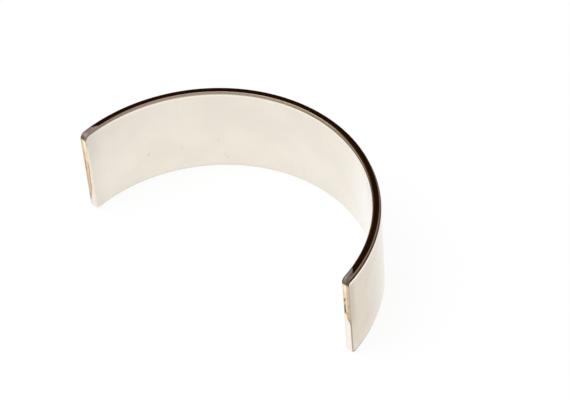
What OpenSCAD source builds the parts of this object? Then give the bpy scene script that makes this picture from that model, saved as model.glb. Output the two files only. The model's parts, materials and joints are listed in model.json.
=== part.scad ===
// Plain half shell of an engine bearing, turned and formed as one piece, standing on one of its side faces.
// Millimetres. The origin is on the shaft's axis, at the middle of the shell's width. +Z runs along the shaft,
// and the crown of the shell points along +Y, so both joint faces look towards -Y.

/* [Fit] */
// Diameter of the housing that the shell is pressed into
housing_bore = 58; // [40:0.5:90]
// How much wider the loose shell stands open than its housing
free_spread = 1.5; // [0.3:0.1:3]

/* [Section] */
// Wall from the back to the running surface
wall = 1.48; // [1.2:0.02:3]
// Width of the shell along the shaft
width = 18.5; // [10:0.5:40]

/* [Edges] */
// Depth of the chamfer round the bore, measured into the wall
bore_chamfer_depth = 0.3; // [0.1:0.02:0.5]
// Length of the chamfer round the bore, measured along the shaft
bore_chamfer_length = 0.4; // [0.1:0.02:1]
// Depth of the chamfer round the back, measured into the wall
back_chamfer_depth = 0.2; // [0.1:0.02:0.5]
// Length of the chamfer round the back, measured along the shaft
back_chamfer_length = 0.64; // [0.1:0.02:1]

/* [Joint faces] */
// Radius of the corners where the side faces turn down into the joint faces
corner_radius = 1; // [0.2:0.1:2]
// Break along the bore edge and the back edge of each joint face
joint_break = 0.2; // [0.04:0.02:0.3]
// How far the thinned stretch of wall reaches from each joint face
relief_length = 8; // [3:0.5:14]
// How much thinner the wall is at each joint face
relief_depth = 0.03; // [0.01:0.01:0.1]

/* [Hidden] */
$fn = 360;

// The shell stands open when it is loose, and its back is as long as the half housing that it fills.
out_r = (housing_bore + free_spread) / 2;
in_r = out_r - wall;
arc_deg = 180 * housing_bore / (2 * out_r);
joint_deg = 90 - arc_deg / 2;

// The relief is a slightly smaller cylinder whose axis is moved towards the joint face. It meets the bore
// where the relief starts, and is deeper than the bore by the relief's depth at the joint face.
relief_deg = relief_length / in_r * 180 / PI;
relief_shift = relief_depth * (in_r + relief_depth / 2) / (in_r * (1 - cos(relief_deg)) + relief_depth);
relief_r = in_r + relief_depth - relief_shift;

// Cutters run past the faces that they open by this much.
overlap = 1;

// The wall's section, as radius and height, with two chamfers at each side face.
module wall_section() {
    half = width / 2;
    polygon([
        [in_r, half - bore_chamfer_length],
        [in_r + bore_chamfer_depth, half],
        [out_r - back_chamfer_depth, half],
        [out_r, half - back_chamfer_length],
        [out_r, back_chamfer_length - half],
        [out_r - back_chamfer_depth, -half],
        [in_r + bore_chamfer_depth, -half],
        [in_r, bore_chamfer_length - half]
    ]);
}

// The band before its ends are finished.
module turned_band() {
    rotate([0, 0, joint_deg])
        rotate_extrude(angle = arc_deg)
            wall_section();
}

// Sets its children at both joint faces: X runs out through the wall, Y out of the joint face, Z along the shaft.
module at_each_joint() {
    for (turn = [0, 1])
        mirror([turn, 0, 0])
            rotate([0, 0, joint_deg])
                mirror([0, 1, 0])
                    children();
}

// What the round at one corner of a joint face takes away, seen along the wall.
module corner_waste() {
    difference() {
        translate([-corner_radius, -corner_radius])
            square(corner_radius + overlap);
        translate([-corner_radius, -corner_radius])
            circle(corner_radius);
    }
}

// Both rounded corners of one joint face, at the two side faces.
module rounded_corners() {
    for (turn = [0, 1])
        mirror([0, 0, turn])
            translate([in_r - overlap, 0, width / 2])
                rotate([90, 0, 90])
                    linear_extrude(wall + 2 * overlap)
                        corner_waste();
}

// The break along one upright edge of a joint face, as a corner cut at 45 degrees, with the edge at the origin.
module edge_break() {
    linear_extrude(width + 2 * overlap, center = true)
        polygon([
            [-overlap, -joint_break - overlap],
            [joint_break + overlap, overlap],
            [-overlap, overlap]
        ]);
}

// The breaks along both upright edges of one joint face.
module broken_edges() {
    translate([in_r + relief_depth, 0, 0])
        edge_break();
    translate([out_r, 0, 0])
        mirror([1, 0, 0])
            edge_break();
}

// The shallow hollow in the bore beside one joint face.
module bore_relief() {
    translate([relief_shift, 0, 0])
        cylinder(r = relief_r, h = width + 2 * overlap, center = true);
}

module bearing_shell() {
    color([0.88, 0.85, 0.79])
        difference() {
            turned_band();
            at_each_joint() {
                rounded_corners();
                broken_edges();
                bore_relief();
            }
        }
}

bearing_shell();
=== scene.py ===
"""Looks of a loose engine bearing shell that stands on one of its side faces.

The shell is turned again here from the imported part's sizes, with the small rounds that the solid leaves out,
and stands in for that solid. Everything is in metres, in the part's own frame: +Z along the shaft, the crown
towards +Y and both joint faces towards -Y. Finishes are worked out in millimetres.
"""

import json
from math import atan2, cos, pi, radians, sin, sqrt

import bmesh
import bpy
from mathutils import Matrix, Vector


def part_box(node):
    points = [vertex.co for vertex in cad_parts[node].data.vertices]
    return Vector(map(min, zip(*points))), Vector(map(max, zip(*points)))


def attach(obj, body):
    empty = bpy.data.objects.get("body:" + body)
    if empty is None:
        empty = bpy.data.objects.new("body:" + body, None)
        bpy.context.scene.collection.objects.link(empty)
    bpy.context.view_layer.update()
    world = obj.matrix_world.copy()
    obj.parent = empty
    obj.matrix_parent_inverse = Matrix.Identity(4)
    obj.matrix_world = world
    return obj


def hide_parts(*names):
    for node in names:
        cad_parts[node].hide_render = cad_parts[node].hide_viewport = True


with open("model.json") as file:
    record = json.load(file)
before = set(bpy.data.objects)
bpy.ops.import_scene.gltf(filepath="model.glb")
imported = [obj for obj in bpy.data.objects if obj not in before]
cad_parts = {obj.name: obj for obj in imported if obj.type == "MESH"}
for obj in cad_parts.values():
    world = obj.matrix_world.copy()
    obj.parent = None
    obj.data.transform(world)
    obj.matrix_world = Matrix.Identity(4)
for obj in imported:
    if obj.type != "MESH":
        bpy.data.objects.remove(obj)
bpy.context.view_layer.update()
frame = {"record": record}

MM = 0.001
NODE = "bearing_shell"

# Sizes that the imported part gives

mounts = {mount["name"]: mount for mount in frame["record"]["mounts"]}
journal = mounts["journal_bore"]["dims"]
housing = mounts["housing_back"]["dims"]
joint_axis = mounts["joint_face_right"]["axis"]
floor_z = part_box(NODE)[0][2]
half_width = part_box(NODE)[1][2]

bore_r = journal["r_mm"] * MM
back_r = housing["r_mm"] * MM
middle_r = (bore_r + back_r) / 2
joint_angle = atan2(joint_axis[0], -joint_axis[1])
arc_angle = pi - 2 * joint_angle
bore_chamfer_length = half_width - journal["length_mm"] * MM / 2
back_chamfer_length = half_width - housing["length_mm"] * MM / 2

# Sizes of the edges and of the ends, the same as in the part

BORE_CHAMFER_DEPTH = 0.30 * MM
BACK_CHAMFER_DEPTH = 0.20 * MM
CORNER_RADIUS = 1.0 * MM
JOINT_ROUND = 0.20 * MM
RELIEF_LENGTH = 8 * MM
RELIEF_DEPTH = 0.03 * MM

corner_angle = CORNER_RADIUS / middle_r
bore_chamfer_tilt = atan2(BORE_CHAMFER_DEPTH, bore_chamfer_length)
back_chamfer_tilt = atan2(BACK_CHAMFER_DEPTH, back_chamfer_length)

# The small edge round and the steps of the curves, which only this mesh has

EDGE_ROUND = 0.05 * MM
EDGE_STEPS = 3
CORNER_STEPS = 14
ARC_STEPS = 200

# The shell's surfaces, in the order of its material slots

BORE, BACK, SIDE, CHAMFER, JOINT = range(5)


def wall_section(mesh):
    """The wall's section as one face at the right-hand joint, with its corners slightly rounded."""
    upper = [
        (bore_r, half_width - bore_chamfer_length),
        (bore_r + BORE_CHAMFER_DEPTH, half_width),
        (back_r - BACK_CHAMFER_DEPTH, half_width),
        (back_r, half_width - back_chamfer_length),
    ]
    outline = upper + [(radius, -height) for radius, height in reversed(upper)]
    outwards = Vector((cos(joint_angle), sin(joint_angle), 0))
    corners = [mesh.verts.new(outwards * radius + Vector((0, 0, height))) for radius, height in outline]
    mesh.faces.new(corners)
    bmesh.ops.bevel(
        mesh,
        geom=corners,
        offset=EDGE_ROUND,
        segments=EDGE_STEPS,
        profile=0.5,
        affect="VERTICES",
        material=-1,
    )


def turn_band(mesh):
    """Spins the section from one joint face to the other, with finer steps where the corners are rounded."""
    last = mesh.verts[:] + mesh.edges[:] + mesh.faces[:]
    stretches = [
        (corner_angle, CORNER_STEPS),
        (arc_angle - 2 * corner_angle, ARC_STEPS),
        (corner_angle, CORNER_STEPS),
    ]
    for angle, steps in stretches:
        spun = bmesh.ops.spin(mesh, geom=last, cent=(0, 0, 0), axis=(0, 0, 1), angle=angle, steps=steps)
        last = spun["geom_last"]
    bmesh.ops.recalc_face_normals(mesh, faces=mesh.faces)


def angle_from_joint(place):
    """The angle round the shaft from a point of the band to the nearer joint face."""
    return pi / 2 - abs(atan2(place.y, place.x) - pi / 2) - joint_angle


def surface_of(face):
    """Which of the shell's surfaces a face of the plain band belongs to.

    A small round goes with the surface that lies farther from the side face. The lower chamfer of the bore
    goes with the bore and the lower corners go with the joint faces, which keeps them pale, a painted
    reflection of the white floor.
    """
    if len(face.verts) > 4:
        return JOINT
    place = face.calc_center_median()
    lower = place.z < 0
    outwards = face.normal.xy.dot(place.xy.normalized())
    tilt = atan2(abs(face.normal.z), abs(outwards))
    near = radians(1)
    if tilt > pi / 2 - near:
        return JOINT if lower and angle_from_joint(place) < corner_angle else SIDE
    if outwards < 0:
        return BORE if lower or tilt < bore_chamfer_tilt - near else CHAMFER
    return BACK if tilt < back_chamfer_tilt - near else CHAMFER


def quarter_round(distance, radius):
    """How far a quarter round stands back at a distance from its end."""
    left = max(radius - distance, 0)
    return radius - sqrt(radius ** 2 - left ** 2)


def finish_end(vert):
    """Moves a point of the band to where an end's rounded corners, rounded edges and relief put it."""
    hand = 1 if vert.co.x > 0 else -1
    from_joint = angle_from_joint(vert.co)
    height = vert.co.z
    if from_joint < corner_angle:
        swing = max(from_joint, 0) / corner_angle * pi / 2
        from_joint = corner_angle * (1 - cos(swing))
        drop = CORNER_RADIUS * (1 - sin(swing))
        height -= drop if height > 0 else -drop
    distance = from_joint * middle_r
    relief = RELIEF_DEPTH * max(1 - (distance / RELIEF_LENGTH) ** 2, 0)
    edge = quarter_round(distance, JOINT_ROUND)
    radius = min(max(vert.co.xy.length, bore_r + relief + edge), back_r - edge)
    turned = joint_angle + from_joint
    vert.co = Vector((hand * radius * cos(turned), radius * sin(turned), height))


def bearing_shell(finishes):
    """The whole shell, as one closed mesh with a material slot for each of its surfaces."""
    mesh = bmesh.new()
    wall_section(mesh)
    turn_band(mesh)
    for face in mesh.faces:
        face.material_index = surface_of(face)
        face.smooth = True
    for vert in mesh.verts:
        finish_end(vert)
    bmesh.ops.recalc_face_normals(mesh, faces=mesh.faces)
    data = bpy.data.meshes.new("plated_shell")
    mesh.to_mesh(data)
    mesh.free()
    for material in finishes:
        data.materials.append(material)
    piece = bpy.data.objects.new("plated_shell", data)
    bpy.context.collection.objects.link(piece)
    shading = piece.modifiers.new("even_shading", "WEIGHTED_NORMAL")
    shading.keep_sharp = True
    return piece


# Shader maths

WHITE = (1, 1, 1, 1)


class Socket:
    """An output of a shader node. Python's operators on it add the Math nodes that work the value out."""

    def __init__(self, nodes, output):
        self.nodes = nodes
        self.output = output

    def twin(self, name):
        """Another output of the same node."""
        return Socket(self.nodes, self.output.node.outputs[name])

    def at_least(self, other):
        """The larger of the two values."""
        return self.nodes.math("MAXIMUM", self, other)

    def __add__(self, other):
        return self.nodes.math("ADD", self, other)

    def __sub__(self, other):
        return self.nodes.math("SUBTRACT", self, other)

    def __rsub__(self, other):
        return self.nodes.math("SUBTRACT", other, self)

    def __mul__(self, other):
        return self.nodes.math("MULTIPLY", self, other)

    def __truediv__(self, other):
        return self.nodes.math("DIVIDE", self, other)

    def __pow__(self, other):
        return self.nodes.math("POWER", self, other)

    def __abs__(self):
        return self.nodes.math("ABSOLUTE", self)

    __radd__ = __add__
    __rmul__ = __mul__


class Nodes:
    """A node tree and what is used to fill it."""

    def __init__(self, tree):
        self.tree = tree
        tree.nodes.clear()

    def add(self, kind, settings=None, sockets=None, output=0):
        """Adds a node with its settings and its sockets' values or links, and gives one of its outputs."""
        node = self.tree.nodes.new(kind)
        for name, value in (settings or {}).items():
            setattr(node, name, value)
        for name, value in (sockets or {}).items():
            if isinstance(value, Socket):
                self.tree.links.new(value.output, node.inputs[name])
            else:
                node.inputs[name].default_value = value
        return Socket(self, node.outputs[output]) if node.outputs else None

    def math(self, operation, first, second=0):
        """A Math node of one or two values."""
        return self.add("ShaderNodeMath", {"operation": operation}, {0: first, 1: second})

    def mix(self, share, low, high):
        """A colour that goes from low to high with the share."""
        # Several sockets of a Mix node have the same name, so they are given by number.
        return self.add("ShaderNodeMix", {"data_type": "RGBA"}, {0: share, 6: low, 7: high}, output=2)

    def step(self, value, start, end):
        """A smooth step from 0 at start to 1 at end."""
        settings = {"interpolation_type": "SMOOTHSTEP"}
        return self.add("ShaderNodeMapRange", settings, {0: value, 1: start, 2: end, 3: 0, 4: 1})


def tone(red, green, blue):
    """A colour as it looks on a screen, from 0 to 255, in the shader's own linear values."""
    shares = [value / 255 for value in (red, green, blue)]
    linear = [share / 12.92 if share <= 0.04045 else ((share + 0.055) / 1.055) ** 2.4 for share in shares]
    return (*linear, 1)


# Finishes of the shell

# How far out from its middle a spot or a stain has its full strength, as a share of its half size
SPOT_CORE = 0.4
# Roughness of the clear oil on the tin, and the tint of the dark metal at a flat angle
FILM_ROUGHNESS = 0.06
DULL_SHEER = (0.55, 0.45, 0.38, 1)
# Colour of the line where the back meets its upper chamfer
DARK_LINE = tone(72, 57, 44)

# Small specks on the bore: millimetres round the arc and from mid-width, half width, and how dark they are
BORE_SPECKS = [
    (77.55, -2.95, 0.50, 0.16),
    (71.2, -3.6, 0.40, 0.12),
    (64.4, -2.45, 0.40, 0.12),
    (63.45, -6.2, 0.36, 0.10),
    (62.9, -6.9, 0.42, 0.09),
]
# How many times as high as wide a speck is
SPECK_STRETCH = 1.3

# Colours of the stains on the joint faces, as they look on a screen, and how strong the stains are
STAIN_TONES = {
    "cream": (255, 244, 214),
    "tan": (204, 178, 136),
    "orange": (208, 168, 130),
    "brown": (172, 138, 94),
    "olive": (180, 168, 132),
    "straw": (210, 194, 158),
    "mauve": (184, 156, 142),
    "grey": (216, 208, 194),
    "dark": (72, 56, 42),
}
STAIN_STRENGTH = 0.85

# Stains on the joint faces: millimetres from the bore and from mid-width, half width, half length and kind
LEFT_STAINS = [
    (0.60, 7.0, 0.44, 1.6, "cream"),
    (0.98, 4.5, 0.24, 1.1, "tan"),
    (1.06, 2.4, 0.24, 1.1, "brown"),
    (1.12, 0.9, 0.24, 1.0, "brown"),
    (1.30, -1.0, 0.26, 2.8, "olive"),
    (0.85, -4.8, 0.44, 0.9, "straw"),
    (1.10, -6.2, 0.32, 1.1, "mauve"),
]
RIGHT_STAINS = [
    (0.24, 5.8, 0.22, 1.9, "grey"),
    (0.66, 6.8, 0.36, 1.3, "cream"),
    (0.64, 4.5, 0.34, 0.4, "tan"),
    (0.36, 4.0, 0.28, 0.6, "dark"),
    (0.50, 3.0, 0.22, 0.9, "olive"),
    (1.24, 2.7, 0.26, 0.7, "brown"),
    (0.38, 2.0, 0.28, 1.2, "dark"),
    (0.42, 1.2, 0.28, 0.8, "dark"),
    (0.90, 0.8, 0.44, 0.8, "orange"),
    (0.98, -0.4, 0.36, 0.9, "olive"),
    (1.28, -1.0, 0.20, 0.9, "dark"),
]


class Finish(Nodes):
    """A material of the shell, with the places on its surface that the patterns follow.

    In millimetres, along runs round the arc from +X, height up from mid-width, below inwards from the nearer
    side face, depth from the bore towards the back, and from_joint up from the nearer joint face. through is
    the depth as a share of the wall. right, left, lower and upper are 1 on that half and 0 on the other.
    """

    def __init__(self, name):
        self.material = bpy.data.materials.new(name)
        self.material.use_nodes = True
        super().__init__(self.material.node_tree)
        place = self.add("ShaderNodeTexCoord", output="Object")
        split = self.add("ShaderNodeSeparateXYZ", None, {0: place})
        x, y, z = (split.twin(axis) / MM for axis in "XYZ")
        self.right = self.step(x, -1, 1)
        self.left = 1 - self.right
        self.lower = self.step(z, 1, -1)
        self.upper = 1 - self.lower
        self.height = z
        self.below = half_width / MM - abs(z)
        self.depth = (x * x + y * y) ** 0.5 - bore_r / MM
        self.through = self.depth / ((back_r - bore_r) / MM)
        self.along = self.math("ARCTAN2", y, x) * (middle_r / MM)
        self.from_joint = y * cos(joint_angle) - abs(x) * sin(joint_angle)

    def noise(self, along, depth, height, detail=2, roughness=0.5):
        """Soft noise round 0.5, with so many swells for each millimetre along, through and up the wall."""
        spread = {0: self.along * along, 1: self.depth * depth, 2: self.height * height}
        place = self.add("ShaderNodeCombineXYZ", None, spread)
        sockets = {"Vector": place, "Scale": 1, "Detail": detail, "Roughness": roughness}
        return self.add("ShaderNodeTexNoise", None, sockets)

    def spot(self, across, up, width, length):
        """1 inside a soft spot and 0 outside it, by the distances from its middle and its half sizes."""
        wide = across / width
        long = up / length
        return self.step((wide * wide + long * long) ** 0.5, 1, SPOT_CORE)

    def surface(self, color, roughness, metallic, bump=None, bump_height=0.0, film=0.0, sheer=WHITE):
        """The finished surface.

        The bump's height is in millimetres, the film is a clear trace of oil, and the sheer colour tints what
        the metal shows at a flat angle.
        """
        sockets = {
            "Base Color": color,
            "Roughness": roughness,
            "Metallic": metallic,
            "Specular Tint": sheer,
            "Coat Weight": film,
            "Coat Roughness": FILM_ROUGHNESS,
        }
        if bump is not None:
            marks = {"Height": bump, "Distance": bump_height * MM}
            sockets["Normal"] = self.add("ShaderNodeBump", None, marks)
        shader = self.add("ShaderNodeBsdfPrincipled", None, sockets)
        self.add("ShaderNodeOutputMaterial", None, {"Surface": shader})
        return self.material


def painted_edge_highlight(finish, color, from_edge, width, strength):
    """Adds a painted highlight: the bright line that runs along the upper edge of a tin surface."""
    line = finish.step(from_edge, width, width / 2) * finish.upper
    return finish.mix(line * strength, color, tone(255, 247, 228))


def tin_bore():
    """Satin tin on the running surface, with faint boring lines, soft clouds, painted shade at the ends, a
    painted reflection towards the right-hand end and a few specks.
    """
    finish = Finish("tin_bore")
    from_edge = finish.below - bore_chamfer_length / MM
    clouds = finish.noise(0.12, 0, 0.16, detail=3)
    streaks = finish.noise(1.1, 0, 0.05)
    lines = finish.noise(0.08, 0, 14)
    color = finish.mix(finish.step(clouds, 0.35, 0.7), tone(237, 229, 216), tone(242, 235, 222))
    color = finish.mix(finish.step(streaks, 0.55, 0.8) * 0.3, color, tone(229, 221, 208))
    # Painted reflection: the bore is brighter towards its right-hand end.
    painted_reflection_right_end = finish.step(finish.along, 38, 27)
    color = finish.mix(painted_reflection_right_end, color, tone(252, 246, 236))
    # Painted shade: darker near the joint faces, most towards the upper corners.
    painted_shade_corner = finish.step(finish.from_joint, 14, 0) * finish.step(finish.height, 0, 7)
    painted_shade_end = finish.step(finish.from_joint, 4, 0)
    color = finish.mix(0.55 * painted_shade_corner + 0.45 * painted_shade_end, color, tone(217, 209, 197))
    # Painted shade: a faint darker line along the lower edge of the bore.
    foot = finish.step(finish.below, 0.8, 0.5) * finish.lower
    color = finish.mix(foot * 0.4, color, tone(219, 208, 186))
    # Painted highlight along the upper edge of the bore.
    color = painted_edge_highlight(finish, color, from_edge, 0.6, 0.85 * finish.step(finish.from_joint, 0.5, 9))
    for along, height, size, darkness in BORE_SPECKS:
        speck = finish.spot(finish.along - along, finish.height - height, size, size * SPECK_STRETCH)
        color = finish.mix(speck * darkness, color, tone(150, 140, 128))
    left_lip = finish.mix(finish.step(finish.height, 5.5, 7.5), tone(252, 234, 222), tone(206, 197, 168))
    lip = finish.mix(finish.right, left_lip, tone(214, 205, 192))
    color = finish.mix(finish.step(finish.from_joint, 0.4, 0.1) * 0.8, color, lip)
    from_rim = from_edge - 0.05 * finish.step(finish.along, 42, 34)
    rim_strength = finish.step(finish.from_joint, 1, 9) * (0.5 + 0.5 * finish.step(finish.along, 46, 38))
    rim = finish.step(from_rim, 0.12, 0.05) * finish.upper * rim_strength
    color = finish.mix(rim, color, tone(160, 145, 129))
    return finish.surface(
        color,
        roughness=0.28 + 0.1 * clouds,
        metallic=0.9,
        bump=lines,
        bump_height=0.002,
        film=1 - rim,
    )


def tin_back():
    """Duller tin on the back, with rolling marks round the arc and a dark edge at the joint faces."""
    finish = Finish("tin_back")
    from_edge = finish.below - back_chamfer_length / MM
    clouds = finish.noise(0.2, 0, 0.25, detail=3)
    lines = finish.noise(0.15, 0, 9, detail=3)
    bands = finish.noise(0.012, 0, 2.4, detail=3, roughness=0.6)
    color = finish.mix(finish.step(clouds, 0.3, 0.7), tone(217, 203, 183), tone(224, 211, 191))
    color = finish.mix(finish.step(lines, 0.5, 0.8) * 0.35, color, tone(207, 194, 174))
    rolled = finish.mix(finish.step(bands, 0.3, 0.7), tone(229, 216, 197), tone(237, 225, 207))
    color = finish.mix(finish.step(finish.along, 8, 16), color, rolled)
    foot = finish.step(finish.height, -4, -8.5)
    color = finish.mix(foot * 0.35, color, tone(240, 228, 210))
    shade = finish.step(finish.from_joint, 2.0, 0.6) * finish.step(finish.height, -4, 0) * finish.right
    color = finish.mix(shade * 0.8, color, tone(197, 182, 162))
    # Painted highlight along the upper edge of the back.
    color = painted_edge_highlight(finish, color, from_edge, 0.8, 1)
    rim = finish.step(from_edge, 0.14, 0.06) * finish.upper * finish.step(finish.from_joint, 0.1, 0.6)
    color = finish.mix(rim, color, DARK_LINE)
    # Darker along the edges at the joint faces, more so on the lower half.
    dark_joint_edge = finish.step(finish.from_joint, 0.24, 0.12) * (0.3 + 0.45 * finish.step(finish.height, 0, -2))
    color = finish.mix(dark_joint_edge, color, tone(150, 134, 112))
    return finish.surface(
        color,
        roughness=0.3 + 0.1 * clouds,
        metallic=0.9,
        bump=lines,
        bump_height=0.003,
        film=1 - rim,
    )


def painted_reflection_side():
    """Side face with a painted dark reflection, which runs out to a point near each end, where the face is
    grey-brown.
    """
    finish = Finish("painted_reflection_side")
    mottle = finish.noise(1.6, 1.6, 0.3, detail=3)
    grain = finish.noise(6, 6, 1)
    patches = finish.step(mottle, 0.4, 0.6)
    # Painted reflection: the dark tone stands for the dark surround that the flat face mirrors.
    dark = finish.mix(mottle, tone(16, 6, 2), tone(42, 22, 12))
    mauve = finish.mix(finish.step(grain, 0.35, 0.65), tone(116, 102, 104), tone(142, 128, 130))
    left_brown = finish.mix(patches, tone(128, 112, 102), tone(148, 132, 121))
    right_brown = finish.mix(patches, tone(94, 78, 66), tone(116, 100, 86))
    left_bare = finish.mix(finish.step(finish.through, 0.45, 0.75), left_brown, mauve)
    right_bare = finish.mix(finish.step(finish.through, 0.4, 0.65), mauve, right_brown)
    bare = finish.mix(finish.right, left_bare, right_bare)
    right_corner = finish.mix(finish.step(finish.through, 0.3, 0.8), tone(144, 131, 119), tone(104, 91, 70))
    corner = finish.mix(finish.right, tone(124, 106, 94), right_corner)
    bare = finish.mix(finish.step(finish.from_joint, 0.5, 0.1), bare, corner)
    reach = 2.6 - 0.65 * finish.right + 2.4 * (0.65 - finish.through).at_least(0)
    edge = finish.from_joint + (mottle - 0.5) * 0.6 - reach
    # inside is 1 where the painted dark reflection lies and 0 on the grey-brown ends.
    inside = finish.step(edge, -0.2, 0.2)
    color = finish.mix(inside, bare, dark)
    worn_stretch = finish.step(finish.along, 8, 14) * finish.step(finish.along, 34, 26)
    worn = worn_stretch * finish.step(finish.through, 0.72, 0.82)
    color = finish.mix(worn * 0.7, color, tone(112, 97, 84))
    return finish.surface(
        color,
        roughness=0.58 - 0.24 * inside + 0.12 * mottle,
        metallic=1,
        bump=grain,
        bump_height=0.004,
        sheer=DULL_SHEER,
    )


def bore_chamfer(finish):
    """Colour of the upper chamfer of the bore. The side face's painted dark reflection and painted shade run
    onto it towards the right-hand end.
    """
    color = finish.mix(finish.step(finish.below, 0.12, 0.3), tone(150, 133, 119), tone(163, 146, 131))
    color = finish.mix(finish.step(finish.along, 62, 46) * 0.8, color, tone(152, 138, 114))
    color = finish.mix(finish.step(finish.along, 74, 84), color, tone(142, 128, 114))
    # Painted shade: the chamfer darkens towards the right-hand end.
    color = finish.mix(finish.step(finish.along, 36, 20), color, tone(108, 93, 82))
    right_arc = finish.step(finish.along, 18, 30) * finish.step(finish.along, 46, 38)
    # A paler line along the chamfer over part of the right-hand arc.
    pale_line = finish.step(finish.below, 0.14, 0.2) * right_arc
    color = finish.mix(pale_line * 0.7, color, tone(186, 170, 142))
    bore_edge = finish.step(finish.below, 0.22, 0.31) * finish.step(finish.along, 52, 44)
    color = finish.mix(bore_edge * 0.9, color, tone(76, 63, 48))
    # Painted reflection: the dark of the side face runs onto the chamfer near the right-hand end.
    edge_dark_reflection = finish.step(finish.along, 42, 34) * finish.step(finish.below, 0.13, 0.07)
    wide_dark_reflection = finish.step(finish.along, 34, 24) * finish.step(finish.below, 0.2, 0.1)
    stain_and_dark_reflection = (0.9 * edge_dark_reflection).at_least(0.7 * wide_dark_reflection)
    return finish.mix(stain_and_dark_reflection, color, tone(34, 18, 10))


def back_chamfer(finish):
    """Colour of the upper chamfer of the back, with a dark line along its outer half."""
    # Darker along the outer half of the chamfer.
    dark_outer_half = finish.step(finish.below, 0.22, 0.32) * finish.step(finish.from_joint, 0.1, 0.6)
    color = finish.mix(dark_outer_half, tone(134, 116, 104), DARK_LINE)
    right_end = finish.step(finish.from_joint, 1, 0.2) * finish.right
    return finish.mix(right_end, color, tone(102, 89, 68))


def cut_chamfer():
    """Tan metal on the upper chamfers, and a paler one on the lower chamfer of the back, a painted reflection
    of the white floor.
    """
    finish = Finish("cut_chamfer")
    mottle = finish.noise(1.2, 1, 1, detail=3)
    outer = finish.step(finish.through, 0.4, 0.6)
    color = finish.mix(outer, bore_chamfer(finish), back_chamfer(finish))
    color = finish.mix(finish.step(mottle, 0.5, 0.75) * 0.3, color, tone(104, 92, 82))
    # Painted reflection: the lower chamfer is paler, as it mirrors the white floor.
    color = finish.mix(finish.lower, color, tone(214, 202, 184))
    return finish.surface(color, roughness=0.4, metallic=1, sheer=DULL_SHEER)


def brass_joint():
    """Cut joint face: brass in upright streaks, with stains, and a pale bore side that widens downwards."""
    finish = Finish("brass_joint")
    streaks = finish.noise(0.4, 2.6, 0.5, detail=3, roughness=0.6)
    waver = finish.noise(0.4, 0, 0.6, detail=3, roughness=0.6)
    through = finish.through + (waver - 0.5) * 0.35
    brass = finish.mix(finish.step(streaks, 0.35, 0.65), tone(232, 206, 166), tone(254, 242, 212))
    peach = finish.step(finish.height, 6, 3) * (0.55 - 0.35 * finish.right)
    brass = finish.mix(peach, brass, tone(240, 204, 156))
    stripe = finish.step(through, 0.52, 0.66) * finish.step(through, 0.96, 0.84)
    brass = finish.mix(stripe * 0.6, brass, tone(192, 172, 138))
    upper_pale = 0.24 * finish.step(finish.height, 4.6, 3.4)
    middle_pale = 0.14 * finish.step(finish.height, 1, -1)
    lower_pale = 0.62 * finish.step(finish.height, -3.5, -8)
    left_pale = upper_pale + middle_pale + lower_pale
    right_pale = finish.step(finish.height, 1.2, -2)
    from_plate = through - (left_pale * finish.left + right_pale * finish.right)
    plate = finish.mix(finish.right, tone(246, 234, 223), tone(253, 244, 232))
    color = finish.mix(finish.step(from_plate, -0.06, 0.06), plate, brass)
    seam = finish.step(abs(from_plate), 0.18, 0.06) * finish.step(finish.height, 3.4, 2.2) * finish.left
    color = finish.mix(seam * STAIN_STRENGTH, color, tone(*STAIN_TONES["mauve"]))
    for stains, here in ((LEFT_STAINS, finish.left), (RIGHT_STAINS, finish.right)):
        for depth, height, width, length, kind in stains:
            stain_and_dark_reflection = finish.spot(finish.depth - depth, finish.height - height, width, length)
            color = finish.mix(stain_and_dark_reflection * here * STAIN_STRENGTH, color, tone(*STAIN_TONES[kind]))
    dark_top = finish.step(finish.height, 7.8, 8.1) * finish.right
    color = finish.mix(dark_top, color, tone(106, 92, 70))
    return finish.surface(color, roughness=0.5, metallic=0.5, bump=streaks, bump_height=0.01)


# Floor, light and camera

FLOOR_SIZE = 6
FLOOR_GAP = 0.02 * MM
# How much of the floor shows as plain white, and how strongly the backdrop lights the shell
FLOOR_GLOW = 0.9
AMBIENT = 0.65

# The camera of the photograph, fitted to the shell's edges
VIEW_AZIMUTH = 42.455
VIEW_ELEVATION = 46.332
VIEW_ROLL = -5.180
VIEW_DISTANCE = 455.463 * MM
VIEW_AIM = Vector((6.705, 12.791, 4.688)) * MM
LENS = 167.71
SENSOR = 36
CLIP_START = 10 * MM


def seen(nodes):
    """1 for rays that show the floor and the backdrop, 0 for those that only carry their light."""
    camera = nodes.add("ShaderNodeLightPath", output="Is Camera Ray")
    return camera.at_least(camera.twin("Is Glossy Ray")).at_least(camera.twin("Is Transmission Ray"))


def white_floor():
    """A wide white floor that keeps a soft shadow, a hair below the face that the shell stands on."""
    mesh = bmesh.new()
    bmesh.ops.create_grid(mesh, size=FLOOR_SIZE / 2, matrix=Matrix.Translation((0, 0, floor_z - FLOOR_GAP)))
    data = bpy.data.meshes.new("white_floor")
    mesh.to_mesh(data)
    mesh.free()
    material = bpy.data.materials.new("white_floor")
    material.use_nodes = True
    nodes = Nodes(material.node_tree)
    paint = nodes.add("ShaderNodeBsdfDiffuse", None, {"Color": tone(250, 250, 250)})
    glow = nodes.add("ShaderNodeEmission", None, {"Color": WHITE, "Strength": 1})
    surface = nodes.add("ShaderNodeMixShader", None, {0: seen(nodes) * FLOOR_GLOW, 1: paint, 2: glow})
    nodes.add("ShaderNodeOutputMaterial", None, {"Surface": surface})
    data.materials.append(material)
    floor = bpy.data.objects.new("white_floor", data)
    bpy.context.collection.objects.link(floor)
    return floor


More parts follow.
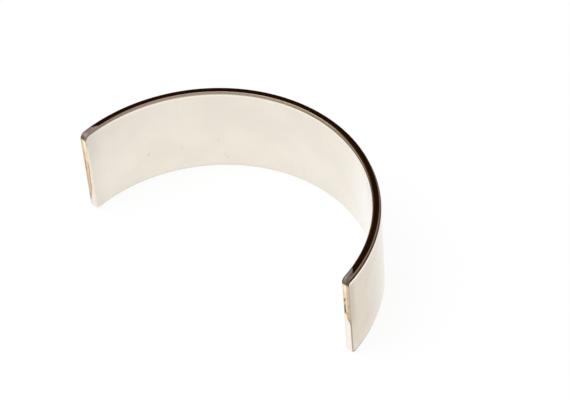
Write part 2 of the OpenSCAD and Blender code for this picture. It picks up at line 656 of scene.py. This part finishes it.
def white_backdrop():
    """A white surround that lights the shell more softly than it looks."""
    world = bpy.data.worlds.new("white_backdrop")
    world.use_nodes = True
    bpy.context.scene.world = world
    nodes = Nodes(world.node_tree)
    soft = nodes.add("ShaderNodeBackground", None, {"Color": WHITE, "Strength": AMBIENT})
    plain = nodes.add("ShaderNodeBackground", None, {"Color": WHITE, "Strength": 1})
    surface = nodes.add("ShaderNodeMixShader", None, {0: seen(nodes), 1: soft, 2: plain})
    nodes.add("ShaderNodeOutputWorld", None, {"Surface": surface})


def towards(azimuth, elevation):
    """The turn of a lamp or a camera that stands in that direction and looks back at the shell."""
    return Matrix.Rotation(radians(azimuth), 4, "Z") @ Matrix.Rotation(pi / 2 - radians(elevation), 4, "X")


def softbox(name, azimuth, elevation, level, size=0.7, distance=1.0):
    """A square soft lamp. Its level is how bright a white surface that faces it becomes."""
    lamp = bpy.data.lights.new(name, "AREA")
    lamp.size = size
    lamp.energy = level * (pi * distance) ** 2
    stand = bpy.data.objects.new(name, lamp)
    stand.matrix_world = towards(azimuth, elevation) @ Matrix.Translation((0, 0, distance))
    bpy.context.collection.objects.link(stand)


def photo_camera():
    """The camera that the scene is rendered from, at the photograph's viewing angle."""
    data = bpy.data.cameras.new("photo_camera")
    data.lens = LENS
    data.sensor_width = SENSOR
    data.clip_start = CLIP_START
    camera = bpy.data.objects.new("photo_camera", data)
    turn = towards(VIEW_AZIMUTH, VIEW_ELEVATION)
    roll = Matrix.Rotation(radians(VIEW_ROLL), 4, "Z")
    back_off = Matrix.Translation((0, 0, VIEW_DISTANCE))
    camera.matrix_world = Matrix.Translation(VIEW_AIM) @ turn @ roll @ back_off
    bpy.context.collection.objects.link(camera)
    bpy.context.scene.camera = camera


shell = bearing_shell([tin_bore(), tin_back(), painted_reflection_side(), cut_chamfer(), brass_joint()])
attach(shell, "root")
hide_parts(NODE)

white_floor()
white_backdrop()
softbox("left_softbox", azimuth=-50, elevation=62, level=0.4)
softbox("top_softbox", azimuth=20, elevation=80, level=0.2)
photo_camera()
bpy.context.scene.view_settings.view_transform = "Standard"
